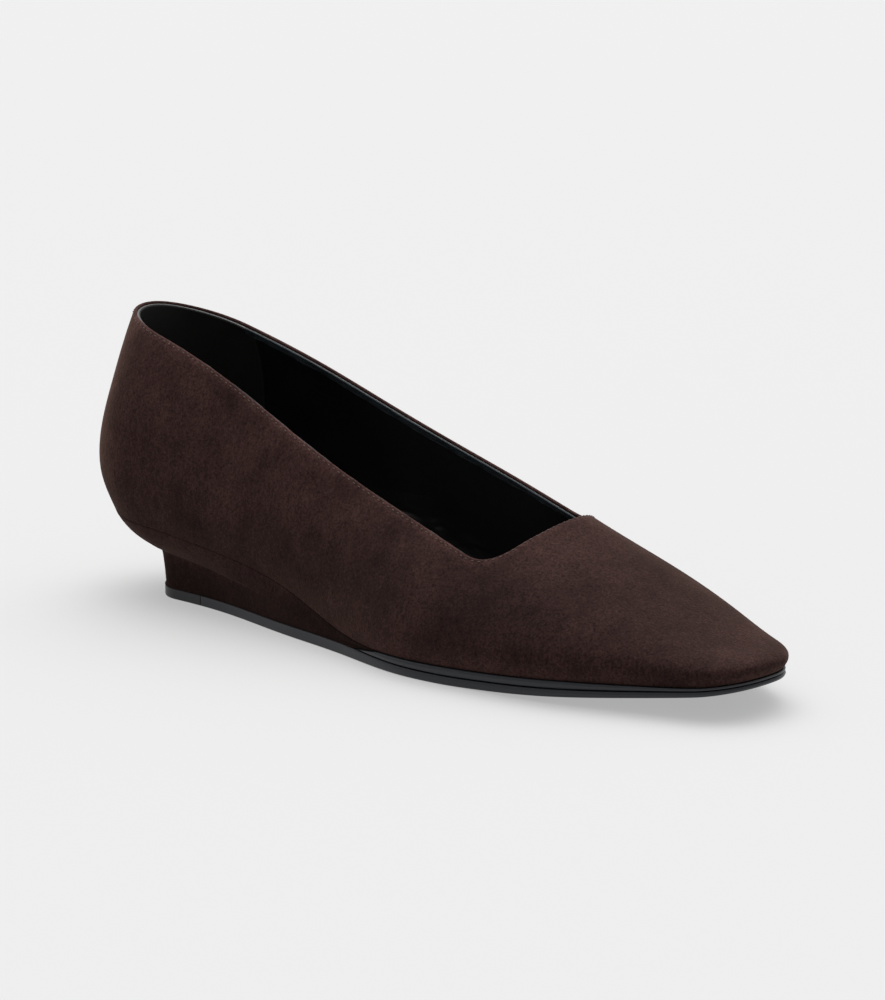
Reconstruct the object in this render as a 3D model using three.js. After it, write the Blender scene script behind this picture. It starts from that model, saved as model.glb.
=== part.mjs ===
import * as THREE from 'three';
import { mergeVertices } from 'three/addons/utils/BufferGeometryUtils.js';

// A low wedge pump for the right foot, in millimetres.
// +X points to the toe, +Y to the inner side of the foot and +Z up. The floor is z = 0.
// A station is a distance along the shoe from the back of the heel.

// Length, width and heights of the last
const LENGTH = 262;
const BALL_WIDTH = 71;
const HEEL_LIFT = 21.4;
const EDGE_HEIGHT = 5.3;
const COUNTER_HEIGHT = 63.6;
const INSTEP_HEIGHT = 38;
const SIDE_FULLNESS = 10;
const BELLY_HEIGHT = 17.2;
const RIDGE_LEAN = 11;

// Underside: flat as far as the ball, then rising to the toe
const TREAD_LENGTH = 168;
const TOE_SPRING = 8.8;
const SPRING_POWER = 1.6;

// Heel and toe of the last
const HEEL_ROUNDING = 30;
const HEEL_CURVE = 11;
const HEEL_CURVE_REACH = 118;
const TOE_ROUNDING = 14;
const TOE_SQUARENESS = 2.4;
const NOSE_DEPTH = 23.5;
const NOSE_ROUNDNESS = 2.2;
const NOSE_OVERHANG = 2.2;
const NOSE_REACH = 20;

// Opening: stations of its two front corners and of the middle of the throat, and the corners' rounding
const OUTER_CORNER = 173.8;
const INNER_CORNER = 173.4;
const THROAT = 182.1;
const CORNER_REACH = 9;

// Wall, insole and sole
const WALL = 2;
const INSOLE_THICKNESS = 2.2;
const SOLE_THICKNESS = 3.2;
const SOLE_MARGIN = 1;
const SOLE_LIP = 0.5;
const CLEARANCE = 0.3;

// Block under the wedge's heel, its top piece, and the slanted front end that meets the midsole
const BLOCK_START = 25.7;
const BLOCK_INSET = 9.2;
const BLOCK_ROUNDING = 13.2;
const BLOCK_EDGE = 0.4;
const TOP_PIECE_LENGTH = 25;
const SCARF_START = 130;
const SCARF_LENGTH = 11;

// A row for each section of the last, at a share of LENGTH.
// outer, inner: half widths of the feather line, shares of BALL_WIDTH.
// lift: height of the feather line, share of HEEL_LIFT. edge: more of it, share of EDGE_HEIGHT.
// sole: share of SOLE_THICKNESS.
// fullOuter, fullInner: how far a side stands out over the feather line, shares of SIDE_FULLNESS.
// belly: height of that fullness over the feather line, share of BELLY_HEIGHT.
// ridge: height of the top line over the feather line, share of INSTEP_HEIGHT.
// lean: how far the ridge lies to the inner side, share of RIDGE_LEAN.
// arch: power of the superellipse between belly and ridge.
// rimOuter, rimInner: the opening's edge over the feather line, shares of COUNTER_HEIGHT.
// insetOuter, insetInner: how far the block lies inside the upper, shares of BLOCK_INSET.
const LAST = [
  {
    at: 0, outer: 0.375, inner: 0.375, lift: 1, edge: 1, sole: 1, fullOuter: 0.3, fullInner: 0.26, belly: 1,
    ridge: 1.92, lean: 0, arch: 2.1, rimOuter: 1, rimInner: 1, insetOuter: 0.84, insetInner: 0.76,
  },
  {
    at: 0.12, outer: 0.368, inner: 0.396, lift: 0.907, edge: 1, sole: 1, fullOuter: 0.33, fullInner: 0.35,
    belly: 0.942, ridge: 1.87, lean: 0, arch: 2.1, rimOuter: 0.938, rimInner: 0.905, insetOuter: 1,
    insetInner: 0.67,
  },
  {
    at: 0.24, outer: 0.354, inner: 0.394, lift: 0.724, edge: 1, sole: 1, fullOuter: 0.33, fullInner: 0.58,
    belly: 0.808, ridge: 1.79, lean: 0.13, arch: 2, rimOuter: 0.842, rimInner: 0.83, insetOuter: 0.67,
    insetInner: 0.53,
  },
  {
    at: 0.36, outer: 0.37, inner: 0.361, lift: 0.444, edge: 1, sole: 1, fullOuter: 0.27, fullInner: 0.89,
    belly: 0.715, ridge: 1.72, lean: 0.46, arch: 1.9, rimOuter: 0.73, rimInner: 0.75, insetOuter: 0.05,
    insetInner: 0.38,
  },
  {
    at: 0.47, outer: 0.441, inner: 0.359, lift: 0.051, edge: 1, sole: 1, fullOuter: 0.24, fullInner: 1.13,
    belly: 0.628, ridge: 1.68, lean: 0.99, arch: 1.6, rimOuter: 0.67, rimInner: 0.735, insetOuter: 0,
    insetInner: 0.25,
  },
  {
    at: 0.58, outer: 0.531, inner: 0.394, lift: 0, edge: 0.96, sole: 0.84, fullOuter: 0.23, fullInner: 0.86,
    belly: 0.523, ridge: 1.376, lean: 1.03, arch: 1.5, rimOuter: 0.55, rimInner: 0.635, insetOuter: 0,
    insetInner: 0,
  },
  {
    at: 0.68, outer: 0.515, inner: 0.473, lift: 0, edge: 1, sole: 0.81, fullOuter: 0.24, fullInner: 0.45,
    belly: 0.43, ridge: 1.058, lean: 0.85, arch: 1.6, rimOuter: 0.418, rimInner: 0.475, insetOuter: 0,
    insetInner: 0,
  },
  {
    at: 0.78, outer: 0.467, inner: 0.48, lift: 0, edge: 0.93, sole: 0.73, fullOuter: 0.23, fullInner: 0.26,
    belly: 0.366, ridge: 0.747, lean: 0.65, arch: 1.8, rimOuter: 0.3, rimInner: 0.3, insetOuter: 0,
    insetInner: 0,
  },
  {
    at: 0.88, outer: 0.36, inner: 0.372, lift: 0, edge: 0.69, sole: 0.58, fullOuter: 0.19, fullInner: 0.18,
    belly: 0.3, ridge: 0.425, lean: 0.56, arch: 2, rimOuter: 0.2, rimInner: 0.2, insetOuter: 0, insetInner: 0,
  },
  {
    at: 0.95, outer: 0.286, inner: 0.247, lift: 0, edge: 0.52, sole: 0.5, fullOuter: 0.15, fullInner: 0.13,
    belly: 0.23, ridge: 0.257, lean: 0.2, arch: 2.1, rimOuter: 0.1, rimInner: 0.1, insetOuter: 0,
    insetInner: 0,
  },
  {
    at: 1, outer: 0.235, inner: 0.15, lift: 0, edge: 0.48, sole: 0.4, fullOuter: 0.1, fullInner: 0.08,
    belly: 0.2, ridge: 0.215, lean: 0, arch: 2.2, rimOuter: 0, rimInner: 0, insetOuter: 0, insetInner: 0,
  },
];

// Profile of the back seam. up: share of COUNTER_HEIGHT. forward: share of HEEL_CURVE.
const BACK_SEAM = [
  { up: 0, forward: 0.5 },
  { up: 0.15, forward: 0.12 },
  { up: 0.33, forward: 0.06 },
  { up: 0.66, forward: 0.57 },
  { up: 1, forward: 1 },
];

// Rings of the wedge, from the sole up to the feather line: a block, then a step out under the band.
// inward: share of the way in from the feather line to the block's edge.
// upBack, upFront: share of the wedge's height, at its back and at its front end.
const WEDGE_RINGS = [
  { inward: 1, upBack: 0, upFront: 0 },
  { inward: 0.94, upBack: 0.53, upFront: 0.4 },
  { inward: 0.8, upBack: 0.57, upFront: 0.44 },
  { inward: 0.44, upBack: 0.685, upFront: 0.66 },
  { inward: 0.16, upBack: 0.85, upFront: 0.85 },
  { inward: 0, upBack: 1, upFront: 1 },
];

// Share of the way from feather line to ridge that lies below the belly,
// and how much thicker the wall is at the ridge than at the side
const BELLY_SHARE = 0.22;
const CROWN_FACTOR = 1.15;

// How finely the surfaces are cut, and how near two corners are when they are one
const HEEL_CUTS = 7;
const QUARTER_CUTS = 12;
const CORNER_CUTS = 3;
const WALL_CUTS = 8;
const THROAT_CUTS = 6;
const VAMP_CUTS = 9;
const NOSE_CUTS = 7;
const SAME_POINT = 1e-3;

const QUARTER_TURN = Math.PI / 2;
const { clamp, lerp } = THREE.MathUtils;

const SUEDE = { color: 0x3c2a27, roughness: 0.95, metalness: 0 };
const SOCK = { color: 0x0c0c0d, roughness: 0.6, metalness: 0 };
const SOLE_EDGE = { color: 0x1b1c1f, roughness: 0.45, metalness: 0 };
const LIFT = { color: 0x18191b, roughness: 0.6, metalness: 0 };

// A natural cubic spline through points
function spline(xs, ys) {
  const last = xs.length - 1;
  const bend = new Array(last + 1).fill(0);
  const carry = new Array(last + 1).fill(0);
  for (let i = 1; i < last; i += 1) {
    const before = xs[i] - xs[i - 1];
    const after = xs[i + 1] - xs[i];
    const turn = 6 * ((ys[i + 1] - ys[i]) / after - (ys[i] - ys[i - 1]) / before);
    const pivot = 2 * (before + after) - before * carry[i - 1];
    carry[i] = after / pivot;
    bend[i] = (turn - before * bend[i - 1]) / pivot;
  }
  for (let i = last - 1; i > 0; i -= 1) {
    bend[i] -= carry[i] * bend[i + 1];
  }
  return (x) => {
    let i = 0;
    while (i < last - 1 && x > xs[i + 1]) {
      i += 1;
    }
    const span = xs[i + 1] - xs[i];
    const b = (x - xs[i]) / span;
    const a = 1 - b;
    const arc = (a ** 3 - a) * bend[i] + (b ** 3 - b) * bend[i + 1];
    return a * ys[i] + b * ys[i + 1] + (arc * span * span) / 6;
  };
}

const stations = LAST.map((row) => row.at * LENGTH);

function column(name, unit) {
  return spline(stations, LAST.map((row) => row[name] * unit));
}

// Height of the sole's underside over the floor
function springHeight(x) {
  const share = Math.max(0, (x - TREAD_LENGTH) / (LENGTH - TREAD_LENGTH));
  return TOE_SPRING * share ** SPRING_POWER;
}

const featherHeight = spline(
  stations,
  LAST.map((row) => row.lift * HEEL_LIFT + row.edge * EDGE_HEIGHT + springHeight(row.at * LENGTH)),
);
const soleThickness = column('sole', SOLE_THICKNESS);
const bellyHeight = column('belly', BELLY_HEIGHT);
const ridgeHeight = column('ridge', INSTEP_HEIGHT);
const ridgeLean = column('lean', RIDGE_LEAN);
const archPower = column('arch', 1);
const backSeam = spline(
  BACK_SEAM.map((row) => row.up * COUNTER_HEIGHT),
  BACK_SEAM.map((row) => row.forward * HEEL_CURVE),
);

const OUTER = {
  sign: -1,
  corner: OUTER_CORNER,
  width: column('outer', BALL_WIDTH),
  fullness: column('fullOuter', SIDE_FULLNESS),
  rim: column('rimOuter', COUNTER_HEIGHT),
  inset: column('insetOuter', BLOCK_INSET),
};
const INNER = {
  sign: 1,
  corner: INNER_CORNER,
  width: column('inner', BALL_WIDTH),
  fullness: column('fullInner', SIDE_FULLNESS),
  rim: column('rimInner', COUNTER_HEIGHT),
  inset: column('insetInner', BLOCK_INSET),
};

// Superellipse that closes from 1 to 0 over the last reach before an end
function closing(distance, reach, power) {
  const near = clamp(1 - distance / reach, 0, 1);
  return (1 - near ** power) ** (1 / power);
}

function heelRound(distance, radius) {
  return closing(distance, radius, 2);
}

function toeRound(x) {
  return closing(LENGTH - x, TOE_ROUNDING, TOE_SQUARENESS);
}

// How far the back seam's curve moves a point forward
function seamShift(x, z) {
  const up = clamp(z - featherHeight(0), 0, COUNTER_HEIGHT);
  return backSeam(up) * Math.max(0, 1 - x / HEEL_CURVE_REACH) ** 2;
}

// How far the tip draws back under the nose
function noseShift(x, reach) {
  return reach * Math.max(0, 1 - (LENGTH - x) / NOSE_REACH) ** 2;
}

function archHeight(x, inset) {
  return ridgeHeight(x) - bellyHeight(x) - CROWN_FACTOR * inset;
}

// Height over the feather line at a share of the way from feather line to ridge
function heightOver(x, share, inset) {
  const low = Math.min(share / BELLY_SHARE, 1);
  const high = Math.max(0, (share - BELLY_SHARE) / (1 - BELLY_SHARE)) * QUARTER_TURN;
  const nose = closing(LENGTH - x, NOSE_DEPTH, NOSE_ROUNDNESS);
  return bellyHeight(x) * low + archHeight(x, inset) * nose * Math.sin(high) ** (2 / archPower(x));
}

// The share that lies at a height over the feather line, behind the nose
function shareAt(x, over, inset) {
  const belly = bellyHeight(x);
  if (over <= belly) {
    return (BELLY_SHARE * over) / belly;
  }
  const rise = Math.min(1, (over - belly) / archHeight(x, inset));
  return BELLY_SHARE + ((1 - BELLY_SHARE) * Math.asin(rise ** (archPower(x) / 2))) / QUARTER_TURN;
}

// A point of the last at a station and a share, drawn in by inset
function lastPoint(flank, x, share, inset) {
  const low = Math.min(share / BELLY_SHARE, 1) * QUARTER_TURN;
  const high = Math.max(0, (share - BELLY_SHARE) / (1 - BELLY_SHARE)) * QUARTER_TURN;
  const foot = flank.width(x) - inset;
  const lean = flank.sign * ridgeLean(x);
  const full = foot + flank.fullness(x) - lean;
  const across = high > 0
    ? lean + full * Math.max(0, Math.cos(high)) ** (2 / archPower(x))
    : foot + flank.fullness(x) * Math.sin(low);
  const closed = heelRound(x, HEEL_ROUNDING) * toeRound(x);
  const y = flank.sign * across * closed + ridgeLean(x) * (1 - toeRound(x));
  const z = featherHeight(x) + heightOver(x, share, inset);
  const fromHeel = inset * Math.max(0, 1 - x / HEEL_ROUNDING);
  const fromToe = inset * Math.max(0, 1 - (LENGTH - x) / TOE_ROUNDING);
  const nose = noseShift(x, NOSE_OVERHANG) * (1 - Math.sin(low));
  return new THREE.Vector3(x + fromHeel - fromToe + seamShift(x, z) - nose, y, z);
}

// Stations that close up towards the back of a round heel
function heelStations(start, radius) {
  const angle = (i) => (i / HEEL_CUTS) * QUARTER_TURN;
  return Array.from({ length: HEEL_CUTS }, (_, i) => start + radius * (1 - Math.cos(angle(i))));
}

// Stations from a start to the toe, closer at the tip
function toeStations(start, cuts) {
  const noseStart = LENGTH - TOE_ROUNDING;
  const angle = (i) => (i / NOSE_CUTS) * QUARTER_TURN;
  const even = Array.from({ length: cuts }, (_, i) => lerp(start, noseStart, i / cuts));
  const tip = Array.from({ length: NOSE_CUTS + 1 }, (_, i) => (
    noseStart + TOE_ROUNDING * Math.sin(angle(i)) ** (2 / TOE_SQUARENESS)
  ));
  return [...even, ...tip];
}

// Edge of the opening as stations and shares: along the quarter, then round the corner to the throat
function rimPath(flank, inset) {
  const onQuarter = (x) => ({ x, share: shareAt(x, flank.rim(x), inset) });
  const corner = onQuarter(flank.corner);
  const onThroat = (t) => ({
    x: corner.x + (THROAT - corner.x) * (2 * t - t * t),
    share: lerp(corner.share, 1, t),
  });
  const before = onQuarter(corner.x - CORNER_REACH);
  const afterShare = CORNER_REACH / flank.width(corner.x);
  const after = onThroat(afterShare);
  const onCorner = (t) => {
    const along = (key) => (
      (1 - t) ** 2 * before[key] + 2 * t * (1 - t) * corner[key] + t * t * after[key]
    );
    return { x: along('x'), share: along('share') };
  };
  const quarter = heelStations(0, HEEL_ROUNDING).map(onQuarter);
  for (let i = 0; i < QUARTER_CUTS; i += 1) {
    quarter.push(onQuarter(lerp(HEEL_ROUNDING, before.x, i / QUARTER_CUTS)));
  }
  for (let i = 0; i <= CORNER_CUTS; i += 1) {
    quarter.push(onCorner(i / (2 * CORNER_CUTS)));
  }
  const throat = [];
  for (let i = 1; i <= CORNER_CUTS; i += 1) {
    throat.push(onCorner(0.5 + i / (2 * CORNER_CUTS)));
  }
  for (let i = 1; i <= THROAT_CUTS; i += 1) {
    throat.push(onThroat(lerp(afterShare, 1, i / THROAT_CUTS)));
  }
  return { quarter, throat };
}

// A wall's cuts, evenly spaced in height from the feather line to the edge of the opening
function wallShares(rim, inset) {
  const over = heightOver(rim.x, rim.share, inset);
  return Array.from({ length: WALL_CUTS + 1 }, (_, j) => shareAt(rim.x, (over * j) / WALL_CUTS, inset));
}

// One skin of the upper: a grid for each quarter and one for the vamp, from the outer feather line
// over the ridge to the inner one. Rows of the two sides draw together at the tip of the toe.
function upperSkin(inset) {
  const halves = [OUTER, INNER].map((flank) => {
    const path = rimPath(flank, inset);
    const quarter = path.quarter.map((rim) => (
      wallShares(rim, inset).map((share) => lastPoint(flank, rim.x, share, inset))
    ));
    const joint = path.quarter[path.quarter.length - 1];
    const low = wallShares(joint, inset).map((share) => ({ x: joint.x, share }));
    return { flank, quarter, rows: [...low, ...path.throat] };
  });
  const vampRow = (half, k) => {
    const row = half.rows[k];
    const tipShare = (halves[0].rows[k].share + halves[1].rows[k].share) / 2;
    return toeStations(row.x, VAMP_CUTS).map((x) => {
      const along = (x - row.x) / (LENGTH - row.x);
      return lastPoint(half.flank, x, lerp(row.share, tipShare, along), inset);
    });
  };
  const [outer, inner] = halves;
  const outerRows = outer.rows.map((_, k) => vampRow(outer, k));
  const innerRows = inner.rows.slice(0, -1).map((_, k) => vampRow(inner, k));
  return { outer: outer.quarter, inner: inner.quarter, vamp: [...outerRows, ...innerRows.reverse()] };
}

// Two triangles for each cell of a grid of points
function patch(grid) {
  const corners = [];
  for (let i = 0; i + 1 < grid.length; i += 1) {
    for (let j = 0; j + 1 < grid[i].length; j += 1) {
      const a = grid[i][j];
      const b = grid[i + 1][j];
      const c = grid[i + 1][j + 1];
      const d = grid[i][j + 1];
      corners.push(a, b, c, a, c, d);
    }
  }
  return corners;
}

// The same triangles, facing the other way
function turned(corners) {
  const out = [];
  for (let i = 0; i < corners.length; i += 3) {
    out.push(corners[i], corners[i + 2], corners[i + 1]);
  }
  return out;
}

// A closed mesh from loose triangles: corners at one place are shared, and flat triangles go
function solid(name, look, corners) {
  const merged = mergeVertices(new THREE.BufferGeometry().setFromPoints(corners), SAME_POINT);
  const index = merged.getIndex().array;
  const kept = [];
  for (let i = 0; i < index.length; i += 3) {
    const [a, b, c] = [index[i], index[i + 1], index[i + 2]];
    if (a !== b && b !== c && c !== a) {
      kept.push(a, b, c);
    }
  }
  merged.setIndex(kept);
  merged.computeVertexNormals();
  const mesh = new THREE.Mesh(merged, new THREE.MeshStandardMaterial(look));
  mesh.name = name;
  return mesh;
}

// Hollow shell: an outside and an inside skin, joined along the opening and the feather line
function upper() {
  const outside = upperSkin(0);
  const inside = upperSkin(WALL);
  const strip = (pick) => patch([pick(outside), pick(inside)]);
  const firstOf = (grid) => grid.map((line) => line[0]);
  const lastOf = (grid) => grid.map((line) => line[line.length - 1]);
  return solid('upper', SUEDE, [
    ...patch(outside.outer),
    ...turned(patch(outside.inner)),
    ...turned(patch(outside.vamp)),
    ...turned(patch(inside.outer)),
    ...patch(inside.inner),
    ...patch(inside.vamp),
    ...turned(strip((skin) => lastOf(skin.outer))),
    ...strip((skin) => lastOf(skin.inner)),
    ...turned(strip((skin) => firstOf(skin.vamp).slice(WALL_CUTS, -WALL_CUTS))),
    ...strip((skin) => firstOf(skin.outer)),
    ...turned(strip((skin) => firstOf(skin.inner))),
    ...strip((skin) => skin.vamp[0]),
    ...turned(strip((skin) => skin.vamp[skin.vamp.length - 1])),
  ]);
}

// A solid between matching outlines, listed from the lowest to the highest.
// An outline is a list of pairs of points, outer side and inner side, from back to front.
function slab(name, look, outlines) {
  const flank = (k) => outlines.map((outline) => outline.map((pair) => pair[k]));
  return solid(name, look, [
    ...turned(patch(outlines[0])),
    ...patch(outlines[outlines.length - 1]),
    ...turned(patch(flank(0))),
    ...patch(flank(1)),
    ...patch(outlines.map((outline) => outline[0])),
    ...turned(patch(outlines.map((outline) => outline[outline.length - 1]))),
  ]);
}

function bothSides(makePoint) {
  return [makePoint(OUTER), makePoint(INNER)];
}

function fullStations() {
  const middle = QUARTER_CUTS + VAMP_CUTS;
  return [...heelStations(0, HEEL_ROUNDING), ...toeStations(HEEL_ROUNDING, middle)];
}

function stationsAfter(start) {
  return fullStations().filter((x) => x > start + WALL);
}

// A point of the feather line, drawn in by inset and moved up by rise
function featherPoint(flank, x, inset, rise) {
  const point = lastPoint(flank, x, 0, inset);
  return point.setZ(point.z + rise);
}

// A point of the sole's edge in plan: round the block at the heel, round the upper from the arch on
function solePoint(flank, x, z, drawnIn) {
  const out = flank.width(x) + SOLE_MARGIN - flank.inset(x) - drawnIn;
  const closed = heelRound(x - BLOCK_START, BLOCK_ROUNDING) * toeRound(x);
  const y = flank.sign * out * closed + ridgeLean(x) * (1 - toeRound(x));
  return new THREE.Vector3(x - noseShift(x, NOSE_OVERHANG - SOLE_LIP), y, z);
}

function soleTop(x) {
  return springHeight(x) + soleThickness(x);
}

// Lies between the walls of the upper, on the wedge and the midsole
function insole() {
  const outline = (rise) => fullStations().map((x) => (
    bothSides((flank) => featherPoint(flank, x, WALL + CLEARANCE, rise))
  ));
  return slab('insole', SOCK, [outline(0), outline(INSOLE_THICKNESS)]);
}

// Its top follows the feather line, its foot the block, and its front end is a slanted tip
function wedge() {
  const tip = SCARF_START + SCARF_LENGTH;
  const heel = heelStations(0, HEEL_ROUNDING).map((x) => x / tip);
  const rest = Array.from({ length: QUARTER_CUTS + 1 }, (_, i) => lerp(HEEL_ROUNDING / tip, 1, i / QUARTER_CUTS));
  const ringPoint = (flank, along, ring) => {
    const x = lerp(BLOCK_START, SCARF_START, along);
    const low = solePoint(flank, x, soleTop(x) + CLEARANCE, BLOCK_EDGE);
    const high = featherPoint(flank, tip * along, 0, -CLEARANCE);
    const up = lerp(ring.upBack, ring.upFront, along);
    const back = lerp(ring.inward, 1 - up, along);
    return new THREE.Vector3(
      lerp(high.x, low.x, back),
      lerp(high.y, low.y, ring.inward),
      lerp(low.z, high.z, up),
    );
  };
  return slab('wedge', SUEDE, WEDGE_RINGS.map((ring) => (
    [...heel, ...rest].map((along) => bothSides((flank) => ringPoint(flank, along, ring)))
  )));
}

// Starts at the wedge's slanted end, and fills the edge between outsole and upper
function midsole() {
  const thickness = featherHeight(SCARF_START) - soleTop(SCARF_START) - 2 * CLEARANCE;
  const lowStart = SCARF_START + (CLEARANCE * SCARF_LENGTH) / thickness;
  const highStart = lowStart + SCARF_LENGTH;
  const ahead = stationsAfter(highStart);
  const outline = (start, height) => [start, ...ahead].map((x) => (
    bothSides((flank) => solePoint(flank, x, height(x), 0))
  ));
  return slab('midsole', SOLE_EDGE, [
    outline(lowStart, (x) => soleTop(x) + CLEARANCE),
    outline(highStart, (x) => featherHeight(x) - CLEARANCE),
  ]);
}

const TOP_PIECE_END = BLOCK_START + TOP_PIECE_LENGTH;

function outsole() {
  const start = TOP_PIECE_END + CLEARANCE;
  const outline = (height) => [start, ...stationsAfter(start)].map((x) => (
    bothSides((flank) => solePoint(flank, x, height(x), 0))
  ));
  return slab('outsole', SOLE_EDGE, [outline(springHeight), outline(soleTop)]);
}

// Heel lift behind the slit in the sole
function topPiece() {
  const along = [
    ...heelStations(BLOCK_START, BLOCK_ROUNDING),
    BLOCK_START + BLOCK_ROUNDING,
    TOP_PIECE_END,
  ];
  const outline = (height) => along.map((x) => bothSides((flank) => solePoint(flank, x, height(x), 0)));
  return slab('top_piece', LIFT, [outline(springHeight), outline(soleTop)]);
}

// The origin is on the floor, under the middle of the top piece
const shoe = new THREE.Group();
shoe.add(upper(), insole(), wedge(), midsole(), outsole(), topPiece());
shoe.position.x = -(BLOCK_START + TOP_PIECE_END) / 2;

export default shoe;
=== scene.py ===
import math

import bmesh
import bpy
import numpy as np
from mathutils import Matrix, Vector
from mathutils.bvhtree import BVHTree
from mathutils.kdtree import KDTree


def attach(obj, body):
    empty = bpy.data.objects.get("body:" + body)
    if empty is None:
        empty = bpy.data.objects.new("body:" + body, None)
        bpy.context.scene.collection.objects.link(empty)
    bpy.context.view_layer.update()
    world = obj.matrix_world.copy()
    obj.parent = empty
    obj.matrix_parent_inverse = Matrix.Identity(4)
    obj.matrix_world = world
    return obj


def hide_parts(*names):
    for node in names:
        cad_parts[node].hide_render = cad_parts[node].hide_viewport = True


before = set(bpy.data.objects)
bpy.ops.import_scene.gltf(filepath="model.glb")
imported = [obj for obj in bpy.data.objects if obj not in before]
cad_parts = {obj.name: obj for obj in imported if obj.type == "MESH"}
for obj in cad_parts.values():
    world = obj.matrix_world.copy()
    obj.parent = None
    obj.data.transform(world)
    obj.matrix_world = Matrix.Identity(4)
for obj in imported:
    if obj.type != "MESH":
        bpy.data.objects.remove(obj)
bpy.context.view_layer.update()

# Lengths are in millimetres, as in the part's source, and stations run from the back of the heel.
# mesh_piece turns them into metres in the row frame.
MM = 0.001
ORIGIN_STATION = 38.2

# Last
LENGTH = 262
BALL_WIDTH = 71
HEEL_LIFT = 21.4
EDGE_HEIGHT = 5.3
COUNTER_HEIGHT = 63.6
INSTEP_HEIGHT = 38
SIDE_FULLNESS = 10
BELLY_HEIGHT = 17.2
RIDGE_LEAN = 11
TREAD_LENGTH = 168
TOE_SPRING = 8.8
SPRING_POWER = 1.6
HEEL_ROUNDING = 30
HEEL_CURVE = 11
HEEL_CURVE_REACH = 118
TOE_ROUNDING = 14
TOE_SQUARENESS = 2.4
NOSE_DEPTH = 23.5
NOSE_ROUNDNESS = 2.2
NOSE_OVERHANG = 2.2
NOSE_REACH = 20
OUTER_CORNER = 173.8
INNER_CORNER = 173.4
THROAT = 182.1
CORNER_REACH = 9

# Sole and wedge
INSOLE_THICKNESS = 2.2
SOLE_THICKNESS = 3.2
SOLE_MARGIN = 1
SOLE_LIP = 0.5
CLEARANCE = 0.3
BLOCK_START = 25.7
BLOCK_INSET = 9.2
BLOCK_ROUNDING = 13.2
BLOCK_EDGE = 0.4
TOP_PIECE_LENGTH = 25
SCARF_START = 130
SCARF_LENGTH = 11

# Layers of the upper: how far each skin lies inside the last's surface
SUEDE_DEPTH = 1.0
LINING_START = 0.95
LINING_DEPTH = 2.0
GRIP_DEPTH = 2.2
SOCK_INSET = 2.3
ROLL = 0.5
LINING_DROP = 1.1
LINING_ROLL = 0.3
TUCK = 0.35
TUCK_SHARE = 0.8
GRIP_SINK = 0.05
GRIP_DROP = 0.1
GRIP_STATION = 33.5
EDGE_REACH = 1.3

LAST_COLUMNS = (
    "at outer inner lift edge sole fullOuter fullInner belly ridge lean arch rimOuter rimInner insetOuter insetInner"
).split()
LAST = [
    (0, 0.375, 0.375, 1, 1, 1, 0.3, 0.26, 1, 1.92, 0, 2.1, 1, 1, 0.84, 0.76),
    (0.12, 0.368, 0.396, 0.907, 1, 1, 0.33, 0.35, 0.942, 1.87, 0, 2.1, 0.938, 0.905, 1, 0.67),
    (0.24, 0.354, 0.394, 0.724, 1, 1, 0.33, 0.58, 0.808, 1.79, 0.13, 2, 0.842, 0.83, 0.67, 0.53),
    (0.36, 0.37, 0.361, 0.444, 1, 1, 0.27, 0.89, 0.715, 1.72, 0.46, 1.9, 0.73, 0.75, 0.05, 0.38),
    (0.47, 0.441, 0.359, 0.051, 1, 1, 0.24, 1.13, 0.628, 1.68, 0.99, 1.6, 0.67, 0.735, 0, 0.25),
    (0.58, 0.531, 0.394, 0, 0.96, 0.84, 0.23, 0.86, 0.523, 1.376, 1.03, 1.5, 0.55, 0.635, 0, 0),
    (0.68, 0.515, 0.473, 0, 1, 0.81, 0.24, 0.45, 0.43, 1.058, 0.85, 1.6, 0.418, 0.475, 0, 0),
    (0.78, 0.467, 0.48, 0, 0.93, 0.73, 0.23, 0.26, 0.366, 0.747, 0.65, 1.8, 0.3, 0.3, 0, 0),
    (0.88, 0.36, 0.372, 0, 0.69, 0.58, 0.19, 0.18, 0.3, 0.425, 0.56, 2, 0.2, 0.2, 0, 0),
    (0.95, 0.286, 0.247, 0, 0.52, 0.5, 0.15, 0.13, 0.23, 0.257, 0.2, 2.1, 0.1, 0.1, 0, 0),
    (1, 0.235, 0.15, 0, 0.48, 0.4, 0.1, 0.08, 0.2, 0.215, 0, 2.2, 0, 0, 0, 0),
]
BACK_SEAM = [(0, 0.5), (0.15, 0.12), (0.33, 0.06), (0.66, 0.57), (1, 1)]
BELLY_SHARE = 0.22
CROWN_FACTOR = 1.15

# How finely the surfaces are cut
HEEL_CUTS = 22
QUARTER_CUTS = 88
CORNER_CUTS = 10
WALL_CUTS = 26
THROAT_CUTS = 28
VAMP_CUTS = 62
NOSE_CUTS = 20
ROLL_CUTS = 8
CROSS_CUTS = 8
ROUNDING_CUTS = 5
LIFT_HEEL_CUTS = 16
LIFT_CUTS = 8
GRIP_CUTS = 4
STITCH_CUTS = 6
FACING_CUTS = 32
EDGE_STEPS = 4

# Vertices nearer than MERGE become one
MERGE = 0.002
STITCH_MERGE = 0.0005
SMALLEST_EDGE = 0.0005

QUARTER_TURN = math.pi / 2


def lerp(a, b, t):
    return a + (b - a) * t


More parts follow.
